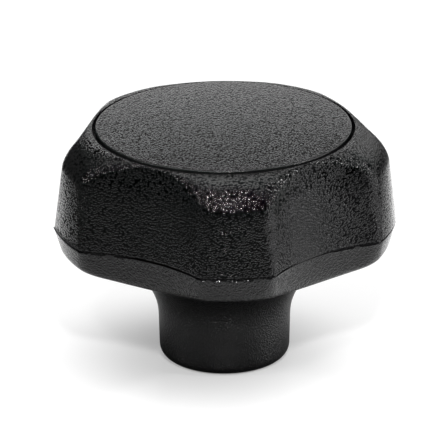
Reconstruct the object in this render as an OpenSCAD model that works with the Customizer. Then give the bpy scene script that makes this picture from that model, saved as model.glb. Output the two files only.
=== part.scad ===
// Star knob: a lobed grip on a round boss, with a pressed-in cover cap over a
// cored hollow and a metal insert with a blind thread in the boss.
// Millimetres, +Z up. The origin is on the thread's axis, in the boss face, and a
// lobe points along -Y. The knob stands on its boss face.

/* [Head] */
// Diameter over the lobes, at the parting line
head_d = 50; // [47:0.5:56]
// Number of lobes
lobes = 5; // [4:1:6]
// Height of the knob, from the boss face to the cap's top
knob_h = 35.5; // [33:0.5:42]
// Height of the parting line above the boss face
part_z = 21.5; // [20:0.5:24]
// Radius of the scallop between two lobes
scallop_r = 24; // [16:1:30]
// Radius of the upright edges of a lobe
lobe_edge_r = 2.5; // [1:0.25:3.5]
// Draft of the walls above the parting line, in degrees
upper_draft = 5.8; // [2:0.2:8]
// Height of the band under the parting line, at the tip of a lobe
band_h = 3.8; // [2.6:0.2:5]
// Draft of the band under the parting line, in degrees
lower_draft = 15.4; // [5:0.2:18]
// Rounding of the band's lower edge
band_edge_r = 1.1; // [0.4:0.1:1.6]
// Slope of the underside, which falls towards the boss, in degrees
under_slope = 16.4; // [8:0.2:20]

/* [Shoulder] */
// Width of the flat land round the cap's seat
rim_land = 0.25; // [0.15:0.05:0.6]
// Distance from the land out to the bottom of a scallop, at the rim's height
scallop_margin = 0.15; // [0.1:0.05:0.6]
// Drop of the shoulder where it is narrowest, over a scallop
rim_drop = 0.15; // [0.1:0.05:0.8]
// Slope of the line from the rim to the top of the walls, in degrees
shoulder_slope = 44.3; // [30:0.1:52]
// Fullness of the shoulder's curve: 0.55 is nearly an ellipse, less is flatter
shoulder_fullness = 0.42; // [0.3:0.02:0.6]

/* [Boss] */
// Diameter of the boss at its face
boss_d = 18.9; // [18.2:0.1:22]
// Draft of the boss, in degrees
boss_draft = 1.5; // [0:0.1:2]
// Rounding of the boss's lower edge
boss_edge_r = 1.8; // [0.4:0.1:2]
// Radius of the flare from the boss into the underside
flare_r = 9.3; // [4:0.1:11]

/* [Cap] */
// Diameter of the cap
cap_d = 37.3; // [33:0.1:38.3]
// Thickness of the cap's plate
cap_t = 2; // [1.4:0.1:3]
// Bevel round the cap's upper edge
cap_bevel = 0.1; // [0.05:0.05:0.5]
// Height of the cap's top above the rim
cap_proud = 0.2; // [0:0.05:0.4]
// Gap between the cap and the rim
cap_gap = 0.35; // [0.1:0.05:0.5]
// Height of the skirt under the cap
skirt_h = 3; // [2:0.5:4]
// Wall thickness of the skirt
skirt_t = 1.5; // [1:0.1:2.5]
// Clearance between the skirt and the wall of the hollow
skirt_gap = 0.05; // [0.02:0.01:0.2]

/* [Hollow] */
// Width of the ledge that carries the cap
ledge_w = 1.7; // [1.2:0.1:2.5]
// Draft of the hollow's wall, in degrees
hollow_draft = 1; // [0.5:0.1:2]
// Thickness of the floor over the underside
floor_t = 3; // [2:0.2:4]
// Thickness of the ribs
rib_t = 2.2; // [1.4:0.1:3]
// Gap between the ribs and the cap's skirt
rib_gap = 0.5; // [0.3:0.1:1]
// Wall of the hub round the insert
hub_wall = 2.4; // [1.6:0.1:3.5]
// Plastic over the insert's closed end
hub_top = 2.4; // [1.6:0.1:3]

/* [Insert] */
// Diameter of the insert
insert_d = 14; // [13:0.5:14.5]
// Length of the insert
insert_h = 20; // [15:0.5:22]
// Nominal diameter of the thread
thread_d = 10; // [8:2:12]
// Pitch of the thread
thread_pitch = 1.5; // [1:0.25:1.75]
// Length of the insert left over the hole's cylindrical wall
blind_end = 4; // [3.5:0.5:6]
// Point angle of the drilled hole, in degrees
drill_point = 118; // [110:2:140]
// Number of retaining grooves round the insert
grip_grooves = 2; // [1:1:3]
// Width of a retaining groove
groove_w = 2.2; // [1:0.1:2.6]
// Depth of a retaining groove
groove_depth = 0.6; // [0.3:0.05:0.8]

/* [Hidden] */
$fn = 96;
eps = 1;                        // how far a cutter runs past the face it opens

// Radii and heights that follow from the driving sizes
head_r = head_d / 2;
boss_r = boss_d / 2;
cap_r = cap_d / 2;
insert_r = insert_d / 2;
bore_r = (thread_d - thread_pitch) / 2;
bore_h = insert_h - blind_end;
drill_tip_h = bore_r / tan(drill_point / 2);
seat_r = cap_r + cap_gap;
seat_z = knob_h - cap_t;
rim_z = knob_h - cap_proud;
rim_r = seat_r + rim_land;
rim_inset = (rim_z - part_z) * tan(upper_draft);
waist_r = rim_r + scallop_margin + rim_inset;
hollow_r = seat_r - ledge_w;
skirt_r = hollow_r - skirt_gap - skirt_h * tan(hollow_draft);
rib_top_z = seat_z - skirt_h - rib_gap;
hub_r = insert_r + hub_wall;

// The underside is a cone through the lower corner of a lobe's tip
band_tip_r = head_r - band_h * tan(lower_draft);
band_tip_z = part_z - band_h;
function under_z(r) = band_tip_z - (band_tip_r - r) * tan(under_slope);
floor_z = under_z(hollow_r) + floor_t;

// Fillets are no larger than their walls allow
edge_share = 0.8;               // most of the face round the insert that the boss's edge takes
boss_edge = min(boss_edge_r, (boss_r - insert_r) * edge_share);
flare_room_r = waist_r - (part_z - under_z(waist_r)) * tan(lower_draft) - 2 * band_edge_r;
flare_fit_r = min(flare_r, (flare_room_r - boss_r) / (1 - sin(under_slope)));
flare_z = under_z(boss_r) - flare_fit_r * (1 - sin(under_slope)) / cos(under_slope);

// Outline of the star: a tip arc about the axis, a small arc at each edge of a lobe
// and a hollow arc between two lobes, all tangent. inset moves the walls inwards.
half_pitch = 180 / lobes;
scallop_c = waist_r + scallop_r;
tip_segs = 4;
edge_segs = 4;
scallop_segs = 5;
half_segs = tip_segs / 2 + edge_segs + scallop_segs;
lobe_segs = 2 * half_segs;
ring_size = lobes * lobe_segs;

function polar(r, a) = [r * cos(a), r * sin(a)];
function heading(p) = atan2(p.y, p.x);
function mix(a, b, t) = a + (b - a) * t;
function edge_c(inset) =
    let (reach = head_r - inset - lobe_edge_r,
         join = lobe_edge_r + scallop_r + inset,
         spread = acos((reach * reach + scallop_c * scallop_c - join * join) / (2 * reach * scallop_c)))
    polar(reach, half_pitch - spread);

// Point s steps round from the middle of a lobe, on its left half
function half_point(s, inset) =
    let (edge = edge_c(inset),
         scallop = polar(scallop_c, half_pitch),
         tip_a = heading(edge),
         join_a = heading(scallop - edge))
    s <= tip_segs / 2
        ? polar(head_r - inset, tip_a * s / (tip_segs / 2))
        : s <= tip_segs / 2 + edge_segs
            ? edge + polar(lobe_edge_r, mix(tip_a, join_a, (s - tip_segs / 2) / edge_segs))
            : scallop + polar(scallop_r + inset,
                180 + mix(join_a, half_pitch, (s - tip_segs / 2 - edge_segs) / scallop_segs));

// Point k of a ring, counted anticlockwise from the middle of the lobe on -Y
function star_point(k, inset) =
    let (lobe = floor(k / lobe_segs),
         s = k % lobe_segs,
         left = s <= half_segs,
         p = half_point(left ? s : lobe_segs - s, inset),
         a = heading(p))
    polar(norm(p), -90 + 2 * half_pitch * (left ? lobe : lobe + 1) + (left ? a : -a));

// Points of the walls: above the parting line at height z, and below it
function upper_point(k, z) = star_point(k, (z - part_z) * tan(upper_draft));
function lower_point(k, z) = star_point(k, (part_z - z) * tan(lower_draft));
function at(p, z) = [p.x, p.y, z];
function on_circle(p, r, z) = at(polar(r, heading(p)), z);

// Top of the wall at point k, and the height where the band meets the underside
function wall_top_z(k) =
    rim_z - rim_drop - (norm(upper_point(k, rim_z)) - rim_r) * tan(shoulder_slope);
function band_z(k, z, tries = 4) =
    tries == 0 ? z : band_z(k, under_z(norm(lower_point(k, z))), tries - 1);

// The shoulder: a curve from the rim's land over to the top of the wall
shoulder_segs = 9;
function bezier3(a, b, c, d, t) =
    a * pow(1 - t, 3) + 3 * b * t * pow(1 - t, 2) + 3 * c * t * t * (1 - t) + d * pow(t, 3);
function shoulder_point(k, t) =
    let (wall_z = wall_top_z(k),
         foot = at(upper_point(k, wall_z), wall_z),
         land = on_circle(foot, rim_r, rim_z),
         corner = at(upper_point(k, rim_z), rim_z))
    bezier3(land, mix(land, corner, shoulder_fullness), mix(foot, corner, shoulder_fullness), foot, t);

// The band's lower edge: a curve from its wall round to the underside
band_segs = 3;
function band_point(k, t) =
    let (z = band_z(k, band_tip_z),
         corner = at(lower_point(k, z), z),
         wall = at(lower_point(k, z + band_edge_r), z + band_edge_r),
         inner_r = norm(lower_point(k, z)) - band_edge_r,
         inner = on_circle(corner, inner_r, under_z(inner_r)))
    wall * pow(1 - t, 2) + 2 * corner * t * (1 - t) + inner * t * t;

// The flare and the boss: circles from the underside down to the boss face
flare_segs = 7;
boss_edge_segs = 4;
function boss_wall_r(z) = boss_r + z * tan(boss_draft);
flare_rings = [for (i = [0:flare_segs])
    let (a = (90 - under_slope) * (1 - i / flare_segs),
         z = flare_z + flare_fit_r * sin(a))
    [boss_wall_r(z) + flare_fit_r * (1 - cos(a)), z]];
boss_rings = [for (i = [0:boss_edge_segs])
    let (a = 90 * i / boss_edge_segs,
         z = boss_edge * (1 - sin(a)))
    [boss_wall_r(z) - boss_edge * (1 - cos(a)), z]];

rings = concat(
    [for (i = [0:shoulder_segs]) [for (k = [0:ring_size - 1]) shoulder_point(k, i / shoulder_segs)]],
    [[for (k = [0:ring_size - 1]) at(star_point(k, 0), part_z)]],
    [for (i = [0:band_segs]) [for (k = [0:ring_size - 1]) band_point(k, i / band_segs)]],
    [for (c = concat(flare_rings, boss_rings))
        [for (k = [0:ring_size - 1]) on_circle(band_point(k, 1), c[0], c[1])]]
);

// The outside of the moulding, as one closed skin of rings
module outer_skin() {
    last = (len(rings) - 1) * ring_size;
    sides = [for (i = [0:len(rings) - 2], k = [0:ring_size - 1])
        let (a = i * ring_size + k,
             b = i * ring_size + (k + 1) % ring_size)
        each [[a, b, a + ring_size], [b, b + ring_size, a + ring_size]]];
    rim = [for (k = [ring_size - 1:-1:0]) k];
    face = [for (k = [0:ring_size - 1]) last + k];
    polyhedron(points = [for (ring = rings) each ring], faces = concat(sides, [rim, face]));
}

// Seat of the cap, with its ledge, and the hollow under it down to the floor
module cap_seat() {
    translate([0, 0, seat_z])
        cylinder(r = seat_r, h = cap_t + eps);
}

module hollow_core() {
    depth = seat_z - floor_z;
    difference() {
        translate([0, 0, floor_z])
            cylinder(r1 = hollow_r - depth * tan(hollow_draft), r2 = hollow_r, h = depth);
        cylinder(r = hub_r, h = insert_h + hub_top);
        for (i = [0:lobes - 1])
            rotate(-90 + 2 * half_pitch * i)
                translate([0, -rib_t / 2, floor_z - eps])
                    cube([head_r, rib_t, rib_top_z - floor_z + eps]);
    }
}

// Outer form of the insert, which the plastic is moulded round
module insert_blank() {
    groove_pitch = insert_h / (grip_grooves + 1);
    difference() {
        cylinder(r = insert_r, h = insert_h);
        for (i = [1:grip_grooves])
            translate([0, 0, i * groove_pitch - groove_w / 2])
                difference() {
                    cylinder(r = insert_r + eps, h = groove_w);
                    translate([0, 0, -eps])
                        cylinder(r = insert_r - groove_depth, h = groove_w + 2 * eps);
                }
    }
}

// Threaded hole at the tap drill's size, with the drill's point at its end
module blind_hole() {
    rotate_extrude()
        polygon([[0, -eps], [bore_r, -eps], [bore_r, bore_h], [0, bore_h + drill_tip_h]]);
}

module star_body() {
    color("#1b1b1d")
        difference() {
            outer_skin();
            cap_seat();
            hollow_core();
            insert_blank();
        }
}

module cover_cap() {
    color("#2a2a2c")
        translate([0, 0, seat_z])
            rotate_extrude()
                polygon([
                    [0, 0],
                    [skirt_r - skirt_t, 0],
                    [skirt_r - skirt_t, -skirt_h],
                    [skirt_r, -skirt_h],
                    [hollow_r - skirt_gap, 0],
                    [cap_r, 0],
                    [cap_r, cap_t - cap_bevel],
                    [cap_r - cap_bevel, cap_t],
                    [0, cap_t]
                ]);
}

module threaded_insert() {
    color("#b8964a")
        difference() {
            insert_blank();
            blind_hole();
        }
}

star_body();
cover_cap();
threaded_insert();
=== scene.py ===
"""Looks of a star knob: a lobed and grained moulding, a thin cover cap and a brass insert.

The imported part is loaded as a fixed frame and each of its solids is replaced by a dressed
piece. Sizes in the classes are millimetres and degrees; meshes are in metres. +Z is up, the
origin is in the boss face on the thread's axis, and a lobe points along -Y.
"""

import logging
import math
from dataclasses import dataclass, field
from enum import Enum
from typing import Any, Callable, NamedTuple, Sequence

import bpy
from mathutils import Matrix, Vector

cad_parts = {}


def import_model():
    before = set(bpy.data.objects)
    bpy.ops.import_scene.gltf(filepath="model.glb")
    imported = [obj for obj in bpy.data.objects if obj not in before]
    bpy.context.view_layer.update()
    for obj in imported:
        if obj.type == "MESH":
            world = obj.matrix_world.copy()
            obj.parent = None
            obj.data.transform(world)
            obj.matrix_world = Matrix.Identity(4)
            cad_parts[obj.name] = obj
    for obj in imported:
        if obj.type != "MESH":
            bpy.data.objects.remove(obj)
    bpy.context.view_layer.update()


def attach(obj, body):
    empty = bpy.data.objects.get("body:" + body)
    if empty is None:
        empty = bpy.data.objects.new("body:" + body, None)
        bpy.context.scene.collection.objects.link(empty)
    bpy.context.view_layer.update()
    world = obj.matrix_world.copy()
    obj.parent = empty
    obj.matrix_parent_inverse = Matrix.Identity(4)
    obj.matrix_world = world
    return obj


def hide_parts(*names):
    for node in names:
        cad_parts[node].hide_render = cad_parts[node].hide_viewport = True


log = logging.getLogger("star_knob")

MM = 0.001
BODY = "root"
WELD = 2e-7
SHARP_ANGLE = 32.0

# A point of a section: its radius and height, as numbers or fields.
Point = tuple[Any, Any]
# A smooth step: where it starts, where it ends, its value up to the start and from the end on.
Span = tuple[float, float, float, float]


def slope(degrees: float) -> float:
    """How far a face moves sideways for each unit along its axis."""
    return math.tan(math.radians(degrees))


# ---------------------------------------------------------------- node trees


def operator(operation: str, swapped: bool = False) -> Callable:
    """Makes an operator of fields.

    Args:
        operation: the Math node's operation.
        swapped: whether the field is the right-hand value.

    Returns:
        A method for Field.
    """

    def combine(one: "Field", other: Any) -> "Field":
        """The result, as a new field."""
        return one.graph.math(operation, *((other, one) if swapped else (one, other)))

    return combine


class Field:
    """A number that varies over a surface, held as an output socket of a node tree."""

    def __init__(self, graph: "Graph", socket: bpy.types.NodeSocket) -> None:
        """Keeps the output that carries the number and the graph that operators add nodes to."""
        self.graph = graph
        self.socket = socket

    __add__, __radd__ = operator("ADD"), operator("ADD", swapped=True)
    __sub__, __rsub__ = operator("SUBTRACT"), operator("SUBTRACT", swapped=True)
    __mul__, __rmul__ = operator("MULTIPLY"), operator("MULTIPLY", swapped=True)
    __truediv__ = operator("DIVIDE")

    def __neg__(self) -> "Field":
        """The negative."""
        return self * -1.0


class Graph:
    """Adds nodes and links to one node tree, whether it makes a shape or a finish."""

    def __init__(self, tree: bpy.types.NodeTree) -> None:
        """Keeps the node tree to add to."""
        self.tree = tree

    def feed(self, socket: bpy.types.NodeSocket, value: Any) -> None:
        """Links a field or a socket to an input, or sets the input's own value.

        Args:
            socket: the input.
            value: a field, an output socket or a constant.
        """
        if isinstance(value, Field):
            value = value.socket
        if isinstance(value, bpy.types.NodeSocket):
            self.tree.links.new(value, socket)
        else:
            socket.default_value = value

    def node(self, kind: str, inputs: dict | None = None, **settings: Any) -> bpy.types.Node:
        """Adds a node.

        Args:
            kind: the node's type name.
            inputs: what feeds its inputs, by name, index or identifier.
            **settings: the node's own properties.

        Returns:
            The new node.
        """
        node = self.tree.nodes.new(kind)
        for name, value in settings.items():
            setattr(node, name, value)
        for key, value in (inputs or {}).items():
            by_id = [s for s in node.inputs if s.identifier == key]
            self.feed(by_id[0] if by_id else node.inputs[key], value)
        return node

    def math(self, operation: str, *values: Any) -> Field:
        """Adds a Math node and returns its result."""
        node = self.node("ShaderNodeMath", dict(enumerate(values)), operation=operation)
        return Field(self, node.outputs[0])

    def sin(self, angle: Field) -> Field:
        """The sine."""
        return self.math("SINE", angle)

    def cos(self, angle: Field) -> Field:
        """The cosine."""
        return self.math("COSINE", angle)

    def root(self, value: Field) -> Field:
        """The square root, with anything below zero taken as zero."""
        return self.math("SQRT", self.math("MAXIMUM", value, 0.0))

    def clamp(self, value: Any) -> Field:
        """The value, held between 0 and 1."""
        return self.math("MINIMUM", self.math("MAXIMUM", value, 0.0), 1.0)

    def mix(self, a: Any, b: Any, t: Any) -> Field:
        """The value t of the way from a to b."""
        return self.math("MULTIPLY_ADD", t, self.math("SUBTRACT", b, a), a)

    def choose(self, test: Field, yes: Any, no: Any) -> Field:
        """yes where the test is 1 and no where it is 0."""
        return self.mix(no, yes, test)

    def ramp(self, value: Any, low: float, high: float, start: float = 0.0, end: float = 1.0) -> Field:
        """Maps a range smoothly onto another.

        Args:
            value: the number to map.
            low: where the result is start.
            high: where the result is end.
            start: the result at and beyond low.
            end: the result at and beyond high.

        Returns:
            The mapped field.
        """
        inputs = {"Value": value, "From Min": low, "From Max": high, "To Min": start, "To Max": end}
        node = self.node("ShaderNodeMapRange", inputs, interpolation_type="SMOOTHSTEP")
        return Field(self, node.outputs["Result"])

    def step(self, value: Any, span: Span, unit: float = 1.0) -> Field:
        """The value mapped by a span whose start and end are in a unit."""
        return self.ramp(value, span[0] * unit, span[1] * unit, *span[2:])

    def vector(self, x: Any, y: Any, z: Any) -> bpy.types.NodeSocket:
        """A vector of three numbers."""
        return self.node("ShaderNodeCombineXYZ", {0: x, 1: y, 2: z}).outputs[0]

    def split(self, vector: bpy.types.NodeSocket) -> list[Field]:
        """The three numbers of a vector."""
        return [Field(self, s) for s in self.node("ShaderNodeSeparateXYZ", {0: vector}).outputs]

    def noise(self, vector: Any, scale: Any, detail: float, rough: float, seed: Any = 0.0) -> Field:
        """Noise about 0.5.

        Args:
            vector: where it is read.
            scale: how many features fit in a metre.
            detail: the number of finer layers.
            rough: how strong the finer layers are.
            seed: a number that picks the pattern.

        Returns:
            The noise.
        """
        inputs = {"Vector": vector, "W": seed, "Scale": scale, "Detail": detail, "Roughness": rough}
        node = self.node("ShaderNodeTexNoise", inputs, noise_dimensions="4D")
        return Field(self, node.outputs["Fac"])


class Group(Graph):
    """A node group with named inputs and outputs, built once and placed many times."""

    def __init__(self, name: str, kind: str, inputs: Sequence[str], outputs: Sequence[str]) -> None:
        """Makes an empty group.

        Args:
            name: the group's name.
            kind: the type of the tree.
            inputs: the name of each input. Vector and Geometry carry what they say, the rest numbers.
            outputs: the name of each output, in the same way.
        """
        super().__init__(bpy.data.node_groups.new(name, kind))
        carries = {"Vector": "NodeSocketVector", "Geometry": "NodeSocketGeometry"}
        for way, labels in (("INPUT", inputs), ("OUTPUT", outputs)):
            for label in labels:
                socket_type = carries.get(label, "NodeSocketFloat")
                self.tree.interface.new_socket(label, in_out=way, socket_type=socket_type)
        self.entry = self.tree.nodes.new("NodeGroupInput")
        self.exit = self.tree.nodes.new("NodeGroupOutput")

    def given(self, name: str) -> Field:
        """The group's input of that name."""
        return Field(self, self.entry.outputs[name])

    def give(self, name: str, value: Any) -> None:
        """Feeds the group's output of that name."""
        self.feed(self.exit.inputs[name], value)

    def place(self, graph: Graph, inputs: dict) -> bpy.types.Node:
        """Adds this group to another graph.

        Args:
            graph: the graph that uses it.
            inputs: what feeds its inputs.

        Returns:
            The group node.
        """
        kind = "ShaderNodeGroup" if self.tree.bl_idname == "ShaderNodeTree" else "GeometryNodeGroup"
        node = graph.tree.nodes.new(kind)
        node.node_tree = self.tree
        for name, value in inputs.items():
            graph.feed(node.inputs[name], value)
        return node


class ShapeTree(Group):
    """A Geometry Nodes tree with named sizes, run once to make a plain mesh."""

    def __init__(self, name: str, columns: int) -> None:
        """Makes an empty tree.

        Args:
            name: the tree's name.
            columns: how many faces go round each strip that is added to its skin.
        """
        super().__init__(name, "GeometryNodeTree", ("Geometry",), ("Geometry",))
        self.values: dict[str, Any] = {}
        self.columns = columns
        self.strips: list[bpy.types.NodeSocket] = []
        x, y, _ = self.split(self.node("GeometryNodeInputPosition").outputs[0])
        self.angle = (x + 0.5) * math.tau
        self.t = y + 0.5

    def size(self, name: str, value: float) -> Field:
        """Adds a named input.

        Args:
            name: its name.
            value: its value, in metres or radians where it has a unit.

        Returns:
            The input as a field.
        """
        item = self.tree.interface.new_socket(name, in_out="INPUT", socket_type="NodeSocketFloat")
        self.values[item.identifier] = value
        return self.given(name)

    def strip(self, columns: int, rows: int, radius: Any, height: Any) -> bpy.types.NodeSocket:
        """A ring of faces round the axis. It faces outwards where t runs upwards.

        Args:
            columns: how many faces go round.
            rows: how many faces go up.
            radius: distance from the axis, from the tree's angle and t.
            height: height, from the tree's angle and t.

        Returns:
            The geometry.
        """
        size = {"Size X": 1.0, "Size Y": 1.0, "Vertices X": columns + 1, "Vertices Y": rows + 1}
        grid = self.node("GeometryNodeMeshGrid", size)
        place = self.vector(radius * self.sin(self.angle), -(radius * self.cos(self.angle)), height)
        inputs = {"Geometry": grid.outputs["Mesh"], "Position": place}
        return self.node("GeometryNodeSetPosition", inputs).outputs[0]

    def between(self, start: Point, end: Point) -> Point:
        """The point t of the way along a straight line."""
        return self.mix(start[0], end[0], self.t), self.mix(start[1], end[1], self.t)

    def add(self, rows: int, radius: Any, height: Any) -> None:
        """Adds the next strip of the skin."""
        self.strips.append(self.strip(self.columns, rows, radius, height))

    def line(self, rows: int, start: Point, end: Point) -> None:
        """Adds a straight strip as the next of the skin."""
        self.add(rows, *self.between(start, end))

    def lathe(self, columns: int, profile: Sequence[Point]) -> bpy.types.NodeSocket:
        """A closed solid through the points of a profile, from the axis below to the axis above."""
        runs = zip(profile, profile[1:])
        return self.weld([self.strip(columns, 1, *self.between(low, high)) for low, high in runs])

    def weld(self, parts: Sequence[bpy.types.NodeSocket]) -> bpy.types.NodeSocket:
        """Joins parts that meet into one skin.

        Args:
            parts: the parts, whose edges lie on each other.

        Returns:
            The geometry.
        """
        joined = self.node("GeometryNodeJoinGeometry")
        for part in reversed(parts):
            self.tree.links.new(part, joined.inputs[0])
        inputs = {"Geometry": joined.outputs[0], "Distance": WELD}
        return self.node("GeometryNodeMergeByDistance", inputs).outputs[0]

    def cut(self, solid: bpy.types.NodeSocket, tool: bpy.types.NodeSocket) -> bpy.types.NodeSocket:
        """Takes one closed solid away from another.

        Args:
            solid: the solid that is cut.
            tool: the solid that is taken away.

        Returns:
            The geometry.
        """
        node = self.node("GeometryNodeMeshBoolean", operation="DIFFERENCE", solver="MANIFOLD")
        self.tree.links.new(solid, node.inputs["Mesh 1"])
        self.tree.links.new(tool, node.inputs["Mesh 2"])
        return node.outputs["Mesh"]

    def shade(self, solid: bpy.types.NodeSocket) -> bpy.types.NodeSocket:
        """Shades a mesh smooth, with its sharp edges left sharp.

        Args:
            solid: the mesh.

        Returns:
            The geometry.
        """
        kind = "GeometryNodeSetShadeSmooth"
        smooth = self.node(kind, {"Geometry": solid, "Shade Smooth": True}, domain="FACE")
        edges = self.node("GeometryNodeInputMeshEdgeAngle").outputs["Unsigned Angle"]
        inputs = {"A": edges, "B": math.radians(SHARP_ANGLE)}
        sharp = self.node("FunctionNodeCompare", inputs, operation="GREATER_THAN")
        inputs = {"Geometry": smooth.outputs[0], "Selection": sharp.outputs[0], "Shade Smooth": False}
        return self.node(kind, inputs, domain="EDGE").outputs[0]

    def build(self, name: str, solid: bpy.types.NodeSocket, finish: bpy.types.Material) -> bpy.types.Object:
        """Ends the tree, runs it and keeps its result as a plain mesh.

        Args:
            name: the piece's name.
            solid: the geometry that the tree gives.
            finish: the material of the piece.

        Returns:
            The piece, with no modifier.
        """
        real = self.node("GeometryNodeRealizeInstances", {"Geometry": solid}).outputs[0]
        dressed = self.node("GeometryNodeSetMaterial", {"Geometry": real, "Material": finish}).outputs[0]
        self.give("Geometry", dressed)
        carrier = bpy.data.objects.new(name + "_carrier", bpy.data.meshes.new(name + "_seed"))
        bpy.context.scene.collection.objects.link(carrier)
        modifier = carrier.modifiers.new("shape", "NODES")
        modifier.node_group = self.tree
        for identifier, value in self.values.items():
            modifier[identifier] = value
        result = carrier.evaluated_get(bpy.context.evaluated_depsgraph_get())
        mesh = bpy.data.meshes.new_from_object(result)
        carrier.modifiers.remove(modifier)
        bpy.data.objects.remove(carrier)
        mesh.name = name
        piece = bpy.data.objects.new(name, mesh)
        bpy.context.scene.collection.objects.link(piece)
        return piece


# ---------------------------------------------------------------- finishes


class Zone(Enum):
    """Surface zones of the moulding, each with its own grain."""

    WALLS = "walls and shoulder above the parting line, with a glossy pebbled grain"
    BAND = "band and underside below the parting line, with a soft grain"
    BOSS = "boss and its flare, with a dull grain"


def grain_group() -> Group:
    """Builds the mould grain that the plastic finishes share.

    Returns:
        A group that gives a height about 0 to 1.
    """
    drift_scale, fine_scale = 0.6, 2.3
    dome_span = (0.05, 0.8, 1.0, 0.0)
    inputs = ("Vector", "Cells per metre", "Wander", "Fine share")
    group = Group("mould_grain", "ShaderNodeTree", inputs, ("Height",))

    def combine(operation: str, inputs: dict) -> bpy.types.NodeSocket:
        """Adds a Vector Math node and returns its vector."""
        return group.node("ShaderNodeVectorMath", inputs, operation=operation).outputs[0]

    vector = group.given("Vector").socket
    cells = group.given("Cells per metre")
    inputs = {"Vector": vector, "Scale": cells * drift_scale, "Detail": 2.0}
    drift = group.node("ShaderNodeTexNoise", inputs, noise_dimensions="3D")
    push = combine("SUBTRACT", {0: drift.outputs["Color"], 1: (0.5, 0.5, 0.5)})
    push = combine("SCALE", {0: push, "Scale": group.given("Wander") / cells})
    moved = combine("ADD", {0: vector, 1: push})
    pebbles = group.node("ShaderNodeTexVoronoi", {"Vector": moved, "Scale": cells}, feature="F1")
    dome = group.step(Field(group, pebbles.outputs["Distance"]), dome_span)
    fine = group.noise(vector, cells * fine_scale, 1.0, 0.5)
    group.give("Height", group.mix(dome, fine, group.given("Fine share")))
    return group


@dataclass(frozen=True)
class Grain:
    """Grain of one zone of a moulding.

    Attributes:
        cell: width of a pebble.
        depth: height of a pebble.
        roughness: roughness of the crests.
        wander: how far the pattern drifts, in cells.
        fine_share: share of finer noise in the relief.
        pit: relief up to which a point is a pit.
        crest: relief from which a point is a crest.
        dull_pits: how much rougher the pits are.
        painted_pit_shade: how much of their reflection the pits lose, as painted shade.
    """

    cell: float
    depth: float
    roughness: float
    wander: float = 0.9
    fine_share: float = 0.2
    pit: float = 0.2
    crest: float = 0.65
    dull_pits: float = 0.03
    painted_pit_shade: float = 0.0


@dataclass(frozen=True)
class MouldedPlastic:
    """Black moulded plastic with a grain that changes from zone to zone.

    seam_calm is the share of the relief that is left at each distance from the parting line, and
    shoulder_depth at each height. painted_shoulder_shade multiplies the painted shade of the pits,
    which lose their reflection, at each height. The blends are the heights over which one zone's
    grain turns into the next one's.
    """

    name: str
    colour: tuple[float, float, float]
    grains: dict[Zone, Grain]
    part_z: float = 0.0
    band_low_z: float = 0.0
    part_blend: float = 0.05
    band_blend: float = 1.2
    seam_calm: Span = (0.25, 0.4, 0.2, 1.0)
    # Painted shade: the pits lose more of their reflection on the shoulder.
    painted_shoulder_shade: Span = (30.0, 32.0, 1.0, 3.6)
    shoulder_depth: Span = (28.5, 31.0, 0.87, 0.6)
    tone_scale: float = 120.0
    tone_cloud: Span = (0.2, 0.8, 0.85, 1.15)
    # Painted shade and light: the colour is darker in the pits and lighter on the crests of the grain.
    painted_pit_tone: float = 0.75
    painted_crest_tone: float = 1.15
    cloudy_gloss: float = 0.06

    def material(self, grain: Group) -> bpy.types.Material:
        """Builds the material.

        Args:
            grain: the shared mould grain.

        Returns:
            The material.
        """
        material, graph, shader = new_material(self.name)
        vector = graph.node("ShaderNodeTexCoord").outputs["Object"]
        _, _, z = graph.split(vector)
        fields = []
        for spec in self.grains.values():
            node = grain.place(graph, {
                "Vector": vector, "Cells per metre": 1.0 / (spec.cell * MM),
                "Wander": spec.wander, "Fine share": spec.fine_share})
            relief = Field(graph, node.outputs["Height"])
            crest = graph.ramp(relief, spec.pit, spec.crest)
            rough = graph.mix(spec.roughness + spec.dull_pits, spec.roughness, crest)
            # The last field is painted shade: how much reflection the pits lose.
            fields.append((relief * (spec.depth * MM), crest, rough, (1.0 - crest) * spec.painted_pit_shade))
        height, crest, rough, dark = fields[0]
        if len(fields) > 1:
            above = graph.ramp(z, (self.part_z - self.part_blend) * MM, (self.part_z + self.part_blend) * MM)
            below = graph.ramp(z, (self.band_low_z - self.band_blend) * MM, self.band_low_z * MM)
            height, crest, rough, dark = [
                graph.mix(graph.mix(of_boss, of_band, below), of_walls, above)
                for of_walls, of_band, of_boss in zip(*fields)]
            near = graph.math("ABSOLUTE", z - self.part_z * MM)
            height = height * graph.step(near, self.seam_calm, MM) * graph.step(z, self.shoulder_depth, MM)
            # The painted shade in the pits grows on the shoulder.
            dark = dark * graph.step(z, self.painted_shoulder_shade, MM)
        cloud = graph.noise(vector, self.tone_scale, 3.0, 0.55)
        # Painted shade and light: darker colour in the pits and lighter on the crests, over a random cloudy
        # tone.
        tone = graph.step(cloud, self.tone_cloud) * graph.mix(self.painted_pit_tone, self.painted_crest_tone, crest)
        colour = graph.node("ShaderNodeVectorMath", {0: self.colour, "Scale": tone}, operation="SCALE")
        bump = graph.node("ShaderNodeBump", {"Height": height, "Strength": 1.0, "Distance": 1.0})
        graph.feed(shader.inputs["Base Color"], colour.outputs[0])
        graph.feed(shader.inputs["Roughness"], rough + (cloud - 0.5) * self.cloudy_gloss)
        # Painted shade: metallic on the near-black colour takes the reflection from the pits.
        graph.feed(shader.inputs["Metallic"], dark)
        graph.feed(shader.inputs["Normal"], bump.outputs["Normal"])
        shader.inputs["IOR"].default_value = 1.5
        return material


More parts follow.
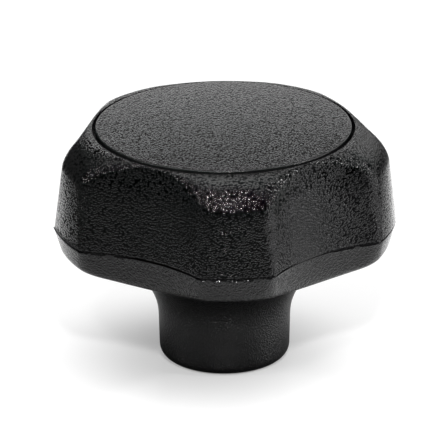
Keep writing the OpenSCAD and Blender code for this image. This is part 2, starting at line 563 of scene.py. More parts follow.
@dataclass(frozen=True)
class TurnedBrass:
    """Brass with the fine rings that a lathe leaves, faint smears and a little tarnish."""

    name: str = "turned_brass"
    colour: tuple[float, float, float] = (0.72, 0.5, 0.2)
    tarnish: tuple[float, float, float] = (0.42, 0.27, 0.1)
    tarnish_share: float = 0.7
    ring_pitch: float = 0.12
    ring_depth: float = 0.004
    roughness: float = 0.26
    stain_dull: float = 0.2
    smear_dull: float = 0.1
    smears_per_m: float = 700.0
    stains_per_m: float = 260.0
    stain_seed: float = 3.0
    stain_span: Span = (0.45, 0.75, 0.0, 1.0)

    def material(self) -> bpy.types.Material:
        """Builds the material.

        Returns:
            The material.
        """
        material, graph, shader = new_material(self.name)
        vector = graph.node("ShaderNodeTexCoord").outputs["Object"]
        x, y, z = graph.split(vector)
        radius = graph.root(x * x + y * y)
        rings = graph.sin((radius + z) * (math.tau / (self.ring_pitch * MM)))
        smear = graph.noise(vector, self.smears_per_m, 4.0, 0.6)
        stain = graph.noise(vector, self.stains_per_m, 4.0, 0.6, self.stain_seed)
        stain = graph.step(stain, self.stain_span)
        inputs = {"Factor_Float": stain * self.tarnish_share,
                  "A_Color": (*self.colour, 1.0), "B_Color": (*self.tarnish, 1.0)}
        colour = graph.node("ShaderNodeMix", inputs, data_type="RGBA")
        relief = rings * smear * (self.ring_depth * MM)
        bump = graph.node("ShaderNodeBump", {"Height": relief, "Distance": 1.0})
        mixed = [s for s in colour.outputs if s.identifier == "Result_Color"][0]
        rough = stain * self.stain_dull + self.roughness + (smear - 0.5) * self.smear_dull
        graph.feed(shader.inputs["Base Color"], mixed)
        graph.feed(shader.inputs["Roughness"], rough)
        graph.feed(shader.inputs["Normal"], bump.outputs["Normal"])
        shader.inputs["Metallic"].default_value = 1.0
        return material


def new_material(name: str) -> tuple[bpy.types.Material, Graph, bpy.types.Node]:
    """Makes an empty node material.

    Args:
        name: the material's name.

    Returns:
        The material, its graph and its Principled BSDF, linked to the output.
    """
    material = bpy.data.materials.new(name)
    material.use_nodes = True
    material.node_tree.nodes.clear()
    graph = Graph(material.node_tree)
    shader = graph.node("ShaderNodeBsdfPrincipled")
    output = graph.node("ShaderNodeOutputMaterial")
    graph.feed(output.inputs["Surface"], shader.outputs["BSDF"])
    return material, graph, shader


# ---------------------------------------------------------------- pieces


class SeamRow(NamedTuple):
    """A row of points of the seam: its height and its share of each form."""

    offset: float
    overlap: float = 0.0
    bead: float = 0.0
    slit: float = 0.0


@dataclass(frozen=True)
class Seam:
    """What two mould halves leave where they meet: an overlap, a bead and an open slit.

    A slow and a quick pattern change all three along the seam. The burr is the stretch that faces
    -Y, where the bead is high and the slit nearly shut. The gape is the stretch that faces along
    gape_x and gape_y, where the slit is deep and wide. The lip is half the slit's plain width, and
    the other widths are shares of that.
    """

    reach: float = 0.35
    lip: float = 0.05
    seed: float = 7.0
    slow_per_m: float = 160.0
    quick_per_m: float = 900.0
    quick_seed: float = 3.0
    overlap_x: float = -0.05
    overlap_y: float = 0.13
    overlap_all: float = 0.04
    overlap_span: Span = (0.3, 0.6, 0.35, 1.3)
    burr_span: Span = (0.86, 0.9, 0.0, 1.0)
    burr_bead: float = 0.13
    burr_shut: float = 0.85
    burr_narrow: float = 0.4
    bead: float = 0.02
    bead_span: Span = (0.42, 0.5, 0.0, 1.0)
    slit_slow: Span = (0.3, 0.5, 0.2, 0.45)
    slit_quick: Span = (0.35, 0.5, 0.4, 1.0)
    slit_width: Span = (0.4, 0.6, 0.7, 1.3)
    gape_x: float = -0.68
    gape_y: float = -0.73
    gape_span: Span = (0.95, 0.995, 0.0, 1.0)
    gape_depth: float = 0.4
    gape_width: float = 2.4
    rows: tuple[SeamRow, ...] = (
        SeamRow(-0.35), SeamRow(-0.27, bead=0.6), SeamRow(-0.2, bead=1.0), SeamRow(-0.15, bead=0.71),
        SeamRow(-0.1, bead=0.43), SeamRow(-0.06, bead=0.2), SeamRow(-0.05, slit=1.0),
        SeamRow(0.05, slit=1.0), SeamRow(0.06, overlap=0.8), SeamRow(0.1, overlap=1.0),
        SeamRow(0.18, overlap=0.4), SeamRow(0.35))


@dataclass
class StarBody:
    """The lobed grip with its boss, flare, parting line, cap seat and cored hollow."""

    cap: "CoverCap"
    insert: "ThreadedInsert"
    head_d: float = 50.0
    lobes: int = 5
    part_z: float = 21.5
    scallop_r: float = 24.0
    lobe_edge_r: float = 2.0
    edge_growth: float = 2.2
    upper_draft: float = 5.8
    band_h: float = 3.8
    lower_draft: float = 15.4
    band_edge_r: float = 1.1
    under_slope: float = 16.4
    rim_land: float = 0.25
    scallop_margin: float = 0.15
    rim_drop: float = 0.15
    shoulder_slope: float = 44.3
    shoulder_fullness: float = 0.42
    boss_d: float = 18.9
    boss_draft: float = 1.5
    boss_edge_r: float = 1.8
    flare_r: float = 9.3
    cap_gap: float = 0.48
    cap_proud: float = 0.2
    rim_round: float = 0.08
    ledge_w: float = 1.7
    hollow_draft: float = 1.0
    floor_t: float = 3.0
    rib_t: float = 2.2
    rib_gap: float = 0.5
    hub_wall: float = 2.4
    hub_top: float = 2.4
    columns: int = 720
    core_columns: int = 240
    hub_columns: int = 192
    corner_tries: int = 4
    band_grain_h: float = 6.0
    seam: Seam = field(default_factory=Seam)

    @property
    def finish(self) -> MouldedPlastic:
        """The plastic, whose grain changes at the parting line and on the underside."""
        grains = {
            # The walls' pits get painted shade: part of their reflection is taken away.
            Zone.WALLS: Grain(0.29, 0.085, 0.05, wander=0.7, pit=0.15, crest=0.4, painted_pit_shade=0.28),
            Zone.BAND: Grain(0.34, 0.12, 0.1),
            Zone.BOSS: Grain(0.3, 0.06, 0.32, wander=0.7)}
        return MouldedPlastic("pebbled_black_plastic", (0.006, 0.006, 0.0063), grains,
                              part_z=self.part_z, band_low_z=self.part_z - self.band_grain_h)

    @property
    def rim_z(self) -> float:
        """Height of the rim, which the cap's top stands above."""
        return self.cap.top_z - self.cap_proud

    @property
    def seat_z(self) -> float:
        """Height of the ledge that carries the cap."""
        return self.cap.top_z - self.cap.cap_t

    @property
    def seat_r(self) -> float:
        """Radius of the cap's seat."""
        return self.cap.cap_r + self.cap_gap

    @property
    def hollow_r(self) -> float:
        """Radius of the hollow where it meets the ledge."""
        return self.seat_r - self.ledge_w

    @property
    def rim_r(self) -> float:
        """Radius of the outer edge of the land round the seat."""
        return self.seat_r + self.rim_land

    @property
    def waist_r(self) -> float:
        """Radius at the bottom of a scallop, at the parting line."""
        lean = (self.rim_z - self.part_z) * slope(self.upper_draft)
        return self.rim_r + self.scallop_margin + lean

    @property
    def band_tip_r(self) -> float:
        """Radius of a lobe's tip at the foot of the band."""
        return self.head_d / 2 - self.band_h * slope(self.lower_draft)

    def outline(self) -> Group:
        """Builds the rule of the star's outline as a group.

        Returns:
            A group that gives, for an angle from the middle of a lobe and an inset of the
            walls, the outline's radius there and the heading of its outward normal.
        """
        inputs = (
            "Angle", "Inset", "Head radius", "Edge radius", "Scallop radius", "Waist radius", "Half pitch")
        group = Group("star_outline", "GeometryNodeTree", inputs, ("Radius", "Heading"))
        given = group.given
        inset, half, edge_r = given("Inset"), given("Half pitch"), given("Edge radius")
        side = group.math("WRAP", given("Angle"), half, -half)
        a = group.math("ABSOLUTE", side)
        scallop_c = given("Waist radius") + given("Scallop radius")
        hollow = given("Scallop radius") + inset
        reach = given("Head radius") - inset - edge_r
        join = edge_r + hollow
        cosine = (reach * reach + scallop_c * scallop_c - join * join) / (2.0 * reach * scallop_c)
        tip_a = half - group.math("ARCCOSINE", cosine)
        ex, ey = reach * group.cos(tip_a), reach * group.sin(tip_a)
        sx, sy = scallop_c * group.cos(half), scallop_c * group.sin(half)
        share = edge_r / join
        join_a = group.math("ARCTAN2", group.mix(ey, sy, share), group.mix(ex, sx, share))

        def crossing(centre: Field, turn: Field, round_r: Field) -> tuple[Field, Field]:
            """Where a ray passes a circle: how far along it is nearest, and half the stretch inside."""
            aside = centre * group.sin(turn)
            return centre * group.cos(turn), group.root(round_r * round_r - aside * aside)

        along, half_chord = crossing(reach, a - tip_a, edge_r)
        edge_radius = along + half_chord
        along, half_chord = crossing(scallop_c, half - a, hollow)
        dent = along - half_chord
        on_edge = group.math("GREATER_THAN", a, tip_a)
        on_dent = group.math("GREATER_THAN", a, join_a)
        radius = group.choose(on_dent, dent, group.choose(on_edge, edge_radius, given("Head radius") - inset))
        px, py = radius * group.cos(a), radius * group.sin(a)
        edge_way = group.math("ARCTAN2", py - ey, px - ex)
        dent_way = group.math("ARCTAN2", sy - py, sx - px)
        way = group.choose(on_dent, dent_way, group.choose(on_edge, edge_way, a))
        group.give("Radius", radius)
        group.give("Heading", given("Angle") - side + group.math("SIGN", side) * way)
        return group

    def skin(self, tree: ShapeTree) -> bpy.types.NodeSocket:
        """Builds the closed outside of the moulding, from the boss face up to the rim.

        Args:
            tree: the tree to build in.

        Returns:
            The geometry.
        """
        size = tree.size
        head = size("Head radius", self.head_d / 2 * MM)
        edge = size("Lobe edge radius", self.lobe_edge_r * MM)
        growth = size("Edge growth", self.edge_growth)
        scallop = size("Scallop radius", self.scallop_r * MM)
        waist = size("Waist radius", self.waist_r * MM)
        half = size("Half pitch", math.pi / self.lobes)
        top = size("Rim height", self.rim_z * MM)
        part = size("Parting height", self.part_z * MM)
        upper = size("Upper draft", slope(self.upper_draft))
        lower = size("Lower draft", slope(self.lower_draft))
        fall = size("Underside slope", slope(self.under_slope))
        rim = size("Rim radius", self.rim_r * MM)
        drop = size("Rim drop", self.rim_drop * MM)
        shoulder = size("Shoulder slope", slope(self.shoulder_slope))
        full = size("Shoulder fullness", self.shoulder_fullness)
        rounding = size("Band rounding", self.band_edge_r * MM)
        boss = size("Boss radius", self.boss_d / 2 * MM)
        boss_draft = size("Boss draft", slope(self.boss_draft))
        boss_round = size("Boss rounding", self.boss_edge_r * MM)
        flare = size("Flare radius", self.flare_r * MM)
        rule = self.outline()
        t = tree.t

        def star(inset: Any) -> tuple[Field, Field]:
            """Radius and normal heading of the outline at an inset."""
            node = rule.place(tree, {
                "Angle": tree.angle, "Inset": inset, "Head radius": head,
                "Edge radius": edge + growth * inset, "Scallop radius": scallop,
                "Waist radius": waist, "Half pitch": half})
            return Field(tree, node.outputs["Radius"]), Field(tree, node.outputs["Heading"])

        def ease(a: Any, b: Any, c: Any) -> Field:
            """A quadratic curve from a by b to c."""
            return tree.mix(tree.mix(a, b, t), tree.mix(b, c, t), t)

        cone_r = size("Cone radius", self.band_tip_r * MM)
        cone_z = size("Cone height", (self.part_z - self.band_h) * MM)

        def under(radius: Any) -> Field:
            """Height of the conical underside at a radius."""
            return cone_z - (cone_r - radius) * fall

        turn = t * (math.pi / 2)
        boss_in = boss - boss_round
        tree.line(1, (0.0, 0.0), (boss_in, 0.0))
        radius = boss_in + boss_round * tree.sin(turn) + boss_draft * boss_round * t
        tree.add(8, radius, boss_round * (1.0 - tree.cos(turn)))

        lean = math.radians(self.under_slope)
        flare_z = under(boss) - flare * ((1 - math.sin(lean)) / math.cos(lean))
        z = tree.mix(boss_round, flare_z, t)
        tree.add(6, boss + z * boss_draft, z)
        turn = t * (math.pi / 2 - lean)
        z = flare_z + flare * tree.sin(turn)
        tree.add(16, boss + z * boss_draft + flare * (1.0 - tree.cos(turn)), z)
        flare_top_z = flare_z + flare * math.cos(lean)
        flare_top_r = boss + flare_top_z * boss_draft + flare * (1 - math.sin(lean))

        corner_z = cone_z
        for _ in range(self.corner_tries):
            corner_z = under(star((part - corner_z) * lower)[0])
        corner_r = star((part - corner_z) * lower)[0]
        inner_r = corner_r - rounding
        inner_z = under(inner_r)
        wall_z = corner_z + rounding
        wall_r = star((part - wall_z) * lower)[0]
        tree.line(8, (flare_top_r, flare_top_z), (inner_r, inner_z))
        tree.add(9, ease(inner_r, corner_r, wall_r), ease(inner_z, corner_z, wall_z))

        self.walls(tree, star, part, lower, upper, wall_z)

        tall = (top - part) * upper
        corner_r = star(tall)[0]
        foot_z = top - drop - (corner_r - rim) * shoulder
        foot_r = star((foot_z - part) * upper)[0]
        z = tree.mix(part + self.seam.reach * MM, foot_z, t)
        tree.add(12, star((z - part) * upper)[0], z)
        pull_r = tree.mix(foot_r, corner_r, full)
        pull_z = tree.mix(foot_z, top, full)
        land_r = tree.mix(rim, corner_r, full)
        radius = tree.mix(ease(foot_r, pull_r, land_r), ease(pull_r, land_r, rim), t)
        tree.add(24, radius, tree.mix(ease(foot_z, pull_z, top), ease(pull_z, top, top), t))
        tree.line(1, (rim, top), (0.0, top))
        return tree.weld(tree.strips)

    def walls(self, tree: ShapeTree, star: Callable, part: Field, lower: Field, upper: Field,
              wall_z: Field) -> None:
        """Builds the band's wall and the seam above it.

        Args:
            tree: the tree to build in.
            star: gives the outline at an inset.
            part: height of the parting line.
            lower: draft of the band.
            upper: draft of the walls.
            wall_z: height where the band's rounding ends.
        """
        seam = self.seam
        z = tree.mix(wall_z, part - seam.reach * MM, tree.t)
        tree.add(5, star((part - z) * lower)[0], z)
        radius, heading = star(0.0)
        nx, ny = tree.sin(heading), -tree.cos(heading)
        here = tree.vector(radius * tree.sin(tree.angle), radius * tree.cos(tree.angle), 0.0)
        seed = tree.size("Seam seed", seam.seed)
        slow = tree.noise(here, seam.slow_per_m, 2.0, 0.5, seed)
        quick = tree.noise(here, seam.quick_per_m, 3.0, 0.6, seed + seam.quick_seed)
        over = nx * (seam.overlap_x * MM) + ny * (seam.overlap_y * MM) + seam.overlap_all * MM
        over = tree.math("MAXIMUM", over * tree.step(slow, seam.overlap_span), 0.0)
        gape = tree.step(nx * seam.gape_x + ny * seam.gape_y, seam.gape_span)
        burr = tree.step(-ny, seam.burr_span)
        bead = tree.step(quick, seam.bead_span) * (burr * seam.burr_bead + seam.bead) * MM
        slit = tree.step(slow, seam.slit_slow) * tree.step(quick, seam.slit_quick)
        slit = slit * (1.0 - burr * seam.burr_shut) * MM + gape * (seam.gape_depth * MM)
        wide = tree.step(slow, seam.slit_width) * (1.0 - burr * seam.burr_narrow) + gape * seam.gape_width
        points = []
        for row in seam.rows:
            away = abs(row.offset)
            widening = seam.lip * (seam.reach - away) / (seam.reach - seam.lip)
            rise = ((wide - 1.0) * widening + away) * MM
            inset = rise * (upper if row.offset > 0 else lower)
            inset = inset - over * row.overlap - bead * row.bead + slit * row.slit
            points.append((star(inset)[0], part + rise * math.copysign(1.0, row.offset)))
        for low, high in zip(points, points[1:]):
            tree.line(1, low, high)

    def hollow(self, tree: ShapeTree) -> bpy.types.NodeSocket:
        """Builds the cored space under the cap, with its hub and ribs left standing.

        Args:
            tree: the tree to build in.

        Returns:
            The geometry to cut away.
        """
        under_z = self.part_z - self.band_h - (self.band_tip_r - self.hollow_r) * slope(self.under_slope)
        floor_z = under_z + self.floor_t
        floor_r = self.hollow_r - (self.seat_z - floor_z) * slope(self.hollow_draft)
        overlap = 0.5
        wall = tree.size("Hollow radius", self.hollow_r * MM)
        floor = tree.size("Floor height", floor_z * MM)
        seat = (self.seat_z + overlap) * MM
        profile = [(0.0, floor), (floor_r * MM, floor), (wall, self.seat_z * MM), (wall, seat), (0.0, seat)]
        core = tree.lathe(self.core_columns, profile)
        hub_r = self.insert.insert_r + self.hub_wall
        hub = tree.size("Hub radius", hub_r * MM)
        hub_top = tree.size("Hub height", (self.insert.insert_h + self.hub_top) * MM)
        profile = [(0.0, 0.0), (hub, 0.0), (hub, hub_top), (0.0, hub_top)]
        core = tree.cut(core, tree.lathe(self.hub_columns, profile))
        rib_in = hub_r - overlap
        rib_low = floor_z - 2 * overlap
        rib_top = self.seat_z - self.cap.skirt_h - self.rib_gap
        length, tall = self.head_d / 2 - rib_in, rib_top - rib_low
        inputs = {"Size": (self.rib_t * MM, length * MM, tall * MM)}
        box = tree.node("GeometryNodeMeshCube", inputs).outputs[0]
        offset = (0.0, -(rib_in + length / 2) * MM, (rib_low + tall / 2) * MM)
        box = tree.node("GeometryNodeTransform", {"Geometry": box, "Translation": offset}).outputs[0]
        inputs = {"Count": self.lobes, "Offset": (0.0, 0.0, 0.0)}
        ring = tree.node("GeometryNodeMeshLine", inputs).outputs[0]
        index = Field(tree, tree.node("GeometryNodeInputIndex").outputs[0])
        turn = tree.vector(0.0, 0.0, index * (math.tau / self.lobes))
        inputs = {"Points": ring, "Instance": box, "Rotation": turn}
        ribs = tree.node("GeometryNodeInstanceOnPoints", inputs)
        solid = tree.node("GeometryNodeRealizeInstances", {"Geometry": ribs.outputs[0]}).outputs[0]
        return tree.cut(core, solid)

    def mesh(self, grain: Group) -> bpy.types.Object:
        """Builds the moulding and cuts the seat, the hollow and the insert's place.

        Args:
            grain: the shared mould grain.

        Returns:
            The piece.
        """
        tree = ShapeTree("star_body_shape", self.columns)
        solid = self.skin(tree)
        seat = tree.size("Seat radius", self.seat_r * MM)
        seat_z = tree.size("Seat height", self.seat_z * MM)
        rim_round = tree.size("Rim rounding", self.rim_round * MM)
        top = self.rim_z * MM
        middle = rim_round * 0.3
        profile = [
            (0.0, seat_z), (seat, seat_z), (seat, top - rim_round), (seat + middle, top - middle),
            (seat + rim_round, top), (seat + rim_round * 2.0, top + rim_round), (0.0, top + rim_round)]
        solid = tree.cut(solid, tree.lathe(self.columns, profile))
        solid = tree.cut(solid, self.hollow(tree))
        solid = tree.cut(solid, tree.lathe(self.core_columns, self.insert.blank_profile()))
        return tree.build("star_grip", tree.shade(solid), self.finish.material(grain))


@dataclass
class CoverCap:
    """The flat disc that closes the hollow, just proud of the rim, with a locating skirt."""

    cap_r: float = 18.52
    top_z: float = 35.5
    cap_t: float = 2.0
    bevel: float = 0.16
    skirt_h: float = 3.0
    skirt_t: float = 1.5
    skirt_r: float = 17.198
    skirt_top_r: float = 17.25
    foot_chamfer: float = 0.1
    bevel_steps: int = 6
    top_rings: tuple[float, ...] = (18.2, 17.0, 14.0, 10.0, 5.0, 0.0)
    columns: int = 360
    # Its colour has the plastic's painted shade in the pits and painted light on the crests.
    finish: MouldedPlastic = field(default_factory=lambda: MouldedPlastic(
        "matt_black_cap", (0.008, 0.008, 0.0084), {Zone.WALLS: Grain(0.3, 0.021, 0.17, fine_share=0.15)}))

    def profile(self) -> list[Point]:
        """Section of the cap, in metres.

        Returns:
            Its points, from the axis under the plate to the axis on top.
        """
        plate_z = self.top_z - self.cap_t
        skirt_in, skirt_low, foot = self.skirt_r - self.skirt_t, plate_z - self.skirt_h, self.foot_chamfer
        points = [
            (0.0, plate_z), (skirt_in, plate_z), (skirt_in, skirt_low), (self.skirt_r, skirt_low),
            (self.skirt_top_r, plate_z), (self.cap_r - foot, plate_z), (self.cap_r, plate_z + foot)]
        for step in range(self.bevel_steps + 1):
            turn = math.radians(90 * step / self.bevel_steps)
            inset, drop = self.bevel * (1 - math.cos(turn)), self.bevel * (1 - math.sin(turn))
            points.append((self.cap_r - inset, self.top_z - drop))
        points += [(radius, self.top_z) for radius in self.top_rings]
        return [(radius * MM, z * MM) for radius, z in points]

    def mesh(self, grain: Group) -> bpy.types.Object:
        """Turns the section round the axis.

        Args:
            grain: the shared mould grain.

        Returns:
            The piece.
        """
        tree = ShapeTree("cover_cap_shape", self.columns)
        solid = tree.lathe(self.columns, self.profile())
        return tree.build("cover_disc", tree.shade(solid), self.finish.material(grain))


@dataclass
class ThreadedInsert:
    """The brass insert, grooved and knurled outside and tapped from the boss face."""

    insert_r: float = 7.0
    insert_h: float = 20.0
    thread_r: float = 5.0
    pitch: float = 1.5
    blind_end: float = 4.0
    drill_point: float = 118.0
    thread_crest: float = 0.25
    thread_flank: float = 1.6
    run_out: float = 2.2
    plain_end: float = 0.6
    lead_in: float = 0.9
    mouth: float = 0.2
    grip_grooves: int = 2
    groove_w: float = 2.2
    groove_depth: float = 0.6
    knurl_depth: float = 0.25
    knurls: int = 40
    knurl_pitch: float = 1.1
    knurl_end: float = 0.25
    edge: float = 0.2
    columns: int = 160
    finish: TurnedBrass = field(default_factory=TurnedBrass)

    @property
    def bore_r(self) -> float:
        """Radius of the hole that the thread is cut in."""
        return self.thread_r - self.pitch / 2

    @property
    def bore_h(self) -> float:
        """Length of the hole's straight wall."""
        return self.insert_h - self.blind_end

    def grooves(self) -> list[tuple[float, float]]:
        """Places the retaining grooves evenly along the insert.

        Returns:
            Lowest and highest point of each groove.
        """
        step = self.insert_h / (self.grip_grooves + 1)
        middles = [step * (i + 1) for i in range(self.grip_grooves)]
        return [(z - self.groove_w / 2, z + self.groove_w / 2) for z in middles]

    def blank_profile(self) -> list[Point]:
        """Outer section of the insert in metres, run on past the boss face.

        Returns:
            Its points, from the axis at the bottom to the axis at the top.
        """
        below = -1.0
        points = [(0.0, below), (self.insert_r, below)]
        neck = self.insert_r - self.groove_depth
        for low, high in self.grooves():
            points += [(self.insert_r, low), (neck, low), (neck, high), (self.insert_r, high)]
        points += [(self.insert_r, self.insert_h), (0.0, self.insert_h)]
        return [(r * MM, z * MM) for r, z in points]

    def mesh(self) -> bpy.types.Object:
        """Builds the insert with its thread, grooves and knurl.

        Returns:
            The piece.
        """
        tree = ShapeTree("threaded_insert_shape", self.columns)
        outer = tree.size("Insert radius", self.insert_r * MM)
        height = tree.size("Insert length", self.insert_h * MM)
        major = tree.size("Thread radius", self.thread_r * MM)
        minor = tree.size("Bore radius", self.bore_r * MM)
        pitch = tree.size("Thread pitch", self.pitch * MM)
        depth = tree.size("Bore length", self.bore_h * MM)
        lead = tree.size("Lead-in", self.lead_in * MM)
        edge = tree.size("Edge chamfer", self.edge * MM)
        knurl = tree.size("Knurl depth", self.knurl_depth * MM)
        neck = tree.size("Groove radius", (self.insert_r - self.groove_depth) * MM)
        tip = self.bore_r * MM / slope(self.drill_point / 2)

        def thread(z: Field) -> Field:
            """How far the thread is cut at a height, from 0 at its crests to 1 at its roots."""
            wave = tree.math("FRACT", z / pitch - tree.angle / math.tau) * 2.0 - 1.0
            return tree.clamp((tree.math("ABSOLUTE", wave) - self.thread_crest) * self.thread_flank)

        tree.line(2, (0.0, depth + tip), (minor, depth))
        z = tree.mix(depth, lead, tree.t)
        fade = tree.step(z, (self.bore_h - self.run_out, self.bore_h - self.plain_end, 1.0, 0.0), MM)
        tree.add(180, minor + (major - minor) * thread(z) * fade, z)
        mouth = major + self.mouth * MM
        tree.line(6, (minor + (major - minor) * thread(lead), lead), (mouth, 0.0))
        tree.line(2, (mouth, 0.0), (outer - edge, 0.0))
        tree.line(1, (outer - edge, 0.0), (outer, edge))
        stops = [self.edge] + [z for pair in self.grooves() for z in pair] + [self.insert_h - self.edge]
        around = tree.angle * float(self.knurls)
        for i in range(0, len(stops), 2):
            low, high = stops[i] * MM, stops[i + 1] * MM
            z = tree.mix(low, high, tree.t)
            ends = tree.math("MINIMUM", z - low, high - z) / (self.knurl_end * MM)
            rise = z * (math.tau / (self.knurl_pitch * MM))
            ridges = [tree.math("ABSOLUTE", tree.sin(way * 0.5)) for way in (around + rise, around - rise)]
            relief = (1.0 - ridges[0] * ridges[1]) * tree.clamp(ends) * knurl
            # The land at the boss face is left plain.
            tree.add(24, outer - relief if i else outer, z)
            if i + 2 < len(stops):
                top = stops[i + 2] * MM
                groove = [(outer, high), (neck, high), (neck, top), (outer, top)]
                for start, end in zip(groove, groove[1:]):
                    tree.line(1, start, end)
        tree.line(1, (outer, height - edge), (outer - edge, height))
        tree.line(1, (outer - edge, height), (0.0, height))
        return tree.build("brass_insert", tree.shade(tree.weld(tree.strips)), self.finish.material())


# ---------------------------------------------------------------- studio


@dataclass(frozen=True)
class Lamp:
    """A plain rectangular lamp that looks at the knob, with its sizes in metres."""

    name: str
    azimuth: float
    elevation: float
    distance: float
    width: float
    height: float
    power: float
    aim_z: float = 0.018
    spread: float = 180.0

    def light(self) -> None:
        """Adds the lamp to the scene."""
        data = bpy.data.lights.new(self.name, "AREA")
        data.shape = "RECTANGLE"
        data.size, data.size_y = self.width, self.height
        data.energy = self.power
        data.spread = math.radians(self.spread)
        lamp = bpy.data.objects.new(self.name, data)
        away = direction(self.azimuth, self.elevation)
        lamp.location = Vector((0.0, 0.0, self.aim_z)) + away * self.distance
        lamp.rotation_euler = away.to_track_quat("Z", "Y").to_euler()
        lamp.visible_camera = False
        bpy.context.scene.collection.objects.link(lamp)


def direction(azimuth: float, elevation: float) -> Vector:
    """Unit vector towards an azimuth, counted from -Y towards +X, and an elevation, in degrees."""
    a, e = math.radians(azimuth), math.radians(elevation)
    return Vector((math.sin(a) * math.cos(e), -math.cos(a) * math.cos(e), math.sin(e)))


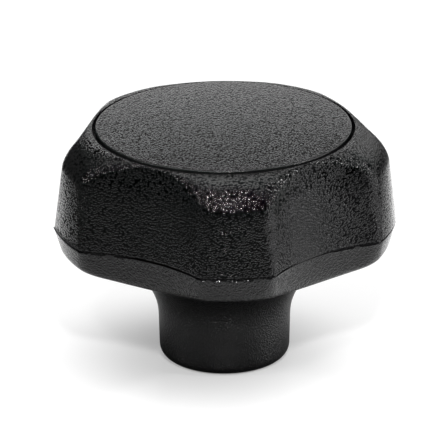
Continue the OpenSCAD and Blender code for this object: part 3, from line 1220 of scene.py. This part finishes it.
@dataclass
class Studio:
    """White table, plain lamps and a long lens. Lengths are in metres.

    The camera sees a white table with a soft shadow, partly the knob's own and partly painted shade.
    Each span below says how a tone changes along one direction of the table; for the knob these
    tones are painted light and shade, so that its gloss finds light and dark parts there.
    """

    azimuth: float = -4.3
    elevation: float = 21.717
    distance: float = 0.8
    pivot_z: float = 0.018
    aim_x: float = -0.00029
    aim_z: float = 0.020516
    roll: float = -0.2785
    lens: float = 445.96
    sensor: float = 36.0
    floor_half: float = 3.0
    ambient: float = 0.06
    table_tone: float = 0.45
    table_gloss: float = 0.2
    middle_y: float = 0.05
    # What the camera sees: a glow that is painted dimmer towards the middle, and painted shade round the
    # boss, over the knob's own shadow.
    glow_out: Span = (0.05, 0.18, 0.66, 1.0)
    painted_shade_x: float = -0.003
    painted_shade_out: Span = (0.006, 0.027, 0.45, 1.0)
    # Painted light and shade that the knob sees in the table: out from the middle, at its sides, out from its
    # axis, with a painted shadow round the boss's foot, and along X.
    tone_out: Span = (0.115, 0.16, 0.4, 0.0)
    sides: Span = (0.037, 0.062, 0.0, 1.0)
    side_depth: Span = (-0.03, 0.0, 0.7, 0.1)
    foot_out: tuple[Span, ...] = (
        (0.0145, 0.021, 0.05, 1.1), (0.026, 0.038, 1.0, 0.76), (0.05, 0.09, 1.0, 1.3))
    foot_across: tuple[Span, ...] = ((-0.01, 0.035, 1.0, 1.6), (0.04, 0.08, 1.0, 0.72))
    # A painted reflection: a band of the table behind the knob glows for its gloss only, though no lamp is
    # there.
    painted_rear_glow: Span = (0.0, 0.06, 0.0, 1.5)
    painted_rear_glow_out: Span = (0.06, 0.16, 1.0, 0.0)
    lamps: tuple[Lamp, ...] = (
        Lamp("back_strip", 180.0, 9.0, 0.07, 0.07, 0.015, 0.00065, aim_z=35.5 * MM, spread=60.0),
        Lamp("front_spot", 0.0, 41.0, 0.45, 0.035, 0.035, 1.2),
        Lamp("left_spot", -20.0, 42.0, 0.45, 0.035, 0.035, 0.45),
        Lamp("left_low_spot", -80.0, 30.0, 0.45, 0.035, 0.035, 0.4),
        Lamp("right_spot", 70.0, 34.0, 0.45, 0.035, 0.035, 0.5),
        Lamp("top_box", 0.0, 101.0, 0.5, 0.6, 0.4, 1.9),
        Lamp("right_box", 82.0, 8.0, 0.45, 0.2, 0.2, 0.48),
        Lamp("right_back", 120.0, 30.0, 0.45, 0.2, 0.2, 0.22),
        Lamp("right_rim", 150.0, 20.0, 0.45, 0.2, 0.2, 0.12),
    )

    def camera(self) -> None:
        """Adds the camera."""
        data = bpy.data.cameras.new("camera")
        data.lens, data.sensor_width = self.lens, self.sensor
        data.clip_start, data.clip_end = 0.01, 20.0
        camera = bpy.data.objects.new("camera", data)
        turn = Matrix.Rotation(math.radians(self.azimuth), 3, "Z")
        place = direction(self.azimuth, self.elevation) * self.distance + Vector((0.0, 0.0, self.pivot_z))
        target = turn @ Vector((self.aim_x, 0.0, self.aim_z))
        ahead = (target - place).normalized()
        right = ahead.cross(Vector((0.0, 0.0, 1.0))).normalized()
        up = right.cross(ahead)
        lean = math.radians(self.roll)
        c, s = math.cos(lean), math.sin(lean)
        right, up = right * c + up * s, up * c - right * s
        frame = Matrix((right, up, -ahead)).transposed().to_4x4()
        frame.translation = place
        camera.matrix_world = frame
        bpy.context.scene.collection.objects.link(camera)
        bpy.context.scene.camera = camera

    def world(self) -> None:
        """Makes the surroundings white to the camera and dim to the knob."""
        world = bpy.data.worlds.new("surroundings")
        bpy.context.scene.world = world
        world.use_nodes = True
        world.node_tree.nodes.clear()
        graph = Graph(world.node_tree)
        path = graph.node("ShaderNodeLightPath").outputs
        seen = graph.math("MAXIMUM", path["Is Camera Ray"], path["Is Transmission Ray"])
        inputs = {"Color": (1.0, 1.0, 1.0, 1.0), "Strength": graph.mix(self.ambient, 1.0, seen)}
        back = graph.node("ShaderNodeBackground", inputs)
        output = graph.node("ShaderNodeOutputWorld")
        graph.feed(output.inputs["Surface"], back.outputs[0])

    def floor(self) -> bpy.types.Object:
        """Adds the table: white and a little glossy from above, with painted light and shade, and see-through
        from below.

        Returns:
            The floor.
        """
        h = self.floor_half
        mesh = bpy.data.meshes.new("table")
        mesh.from_pydata([(-h, -h, 0.0), (h, -h, 0.0), (h, h, 0.0), (-h, h, 0.0)], [], [(0, 1, 2, 3)])
        material, graph, paint = new_material("white_table")
        path = graph.node("ShaderNodeLightPath").outputs
        seen, gloss = Field(graph, path["Is Camera Ray"]), path["Is Glossy Ray"]
        x, y, _ = graph.split(graph.node("ShaderNodeTexCoord").outputs["Object"])

        def distance(x0: float, y0: float) -> Field:
            """Distance along the table from a point."""
            return graph.root((x - x0) * (x - x0) + (y - y0) * (y - y0))

        reach, off = distance(0.0, self.middle_y), distance(0.0, 0.0)
        # Painted light and shade in the table's colour, seen only in the knob's gloss: bright near the middle
        # and black far off, changed at the sides and along X, with a painted shadow round the boss's foot.
        beside = graph.step(graph.math("ABSOLUTE", x), self.sides)
        side = graph.mix(1.0, graph.step(y, self.side_depth), beside)
        tone = graph.step(reach, self.tone_out) * side
        for span in self.foot_out:
            tone = tone * graph.step(off, span)
        for span in self.foot_across:
            tone = tone * graph.step(x, span)
        tone = graph.mix(tone, self.table_tone, seen)
        # Painted shade: the white that the camera sees is dimmed towards the middle and round the boss.
        white = graph.step(reach, self.glow_out) * graph.step(distance(self.painted_shade_x, 0.0), self.painted_shade_out)
        # Painted reflection: the glow behind the knob is seen only by glossy rays.
        painted_glow_behind = graph.step(y, self.painted_rear_glow) * graph.step(reach, self.painted_rear_glow_out) * side
        graph.feed(paint.inputs["Base Color"], graph.vector(tone, tone, tone))
        graph.feed(paint.inputs["Emission Strength"], seen * white + painted_glow_behind * gloss)
        paint.inputs["Emission Color"].default_value = (1.0, 1.0, 1.0, 1.0)
        paint.inputs["Roughness"].default_value = self.table_gloss
        clear = graph.node("ShaderNodeBsdfTransparent")
        back = graph.node("ShaderNodeNewGeometry").outputs["Backfacing"]
        both = graph.node("ShaderNodeMixShader", {0: back, 1: paint.outputs[0], 2: clear.outputs[0]})
        output = graph.tree.get_output_node("ALL")
        graph.feed(output.inputs["Surface"], both.outputs[0])
        mesh.materials.append(material)
        floor = bpy.data.objects.new("table", mesh)
        bpy.context.scene.collection.objects.link(floor)
        return floor

    def build(self) -> None:
        """Adds everything and sets the plain view transform."""
        self.camera()
        self.world()
        for lamp in self.lamps:
            lamp.light()
        self.floor()
        bpy.context.scene.view_settings.view_transform = "Standard"


# ---------------------------------------------------------------- the knob


@dataclass(frozen=True)
class Dressing:
    """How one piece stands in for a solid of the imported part."""

    node: str
    slot: str

    def put(self, piece: bpy.types.Object) -> None:
        """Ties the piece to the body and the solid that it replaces.

        Args:
            piece: the finished piece.
        """
        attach(piece, BODY)
        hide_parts(self.node)
        log.info("%s: %d faces, stands for %s", piece.name, len(piece.data.polygons), self.node)


def main() -> None:
    """Builds the pieces and the studio."""
    logging.basicConfig(level=logging.INFO, format="%(name)s: %(message)s")
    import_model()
    grain = grain_group()
    cap, insert = CoverCap(), ThreadedInsert()
    Dressing("star_body", "body_plastic").put(StarBody(cap, insert).mesh(grain))
    Dressing("cover_cap", "cap_plastic").put(cap.mesh(grain))
    Dressing("threaded_insert", "insert_brass").put(insert.mesh())
    Studio().build()


if __name__ == "__main__":
    main()
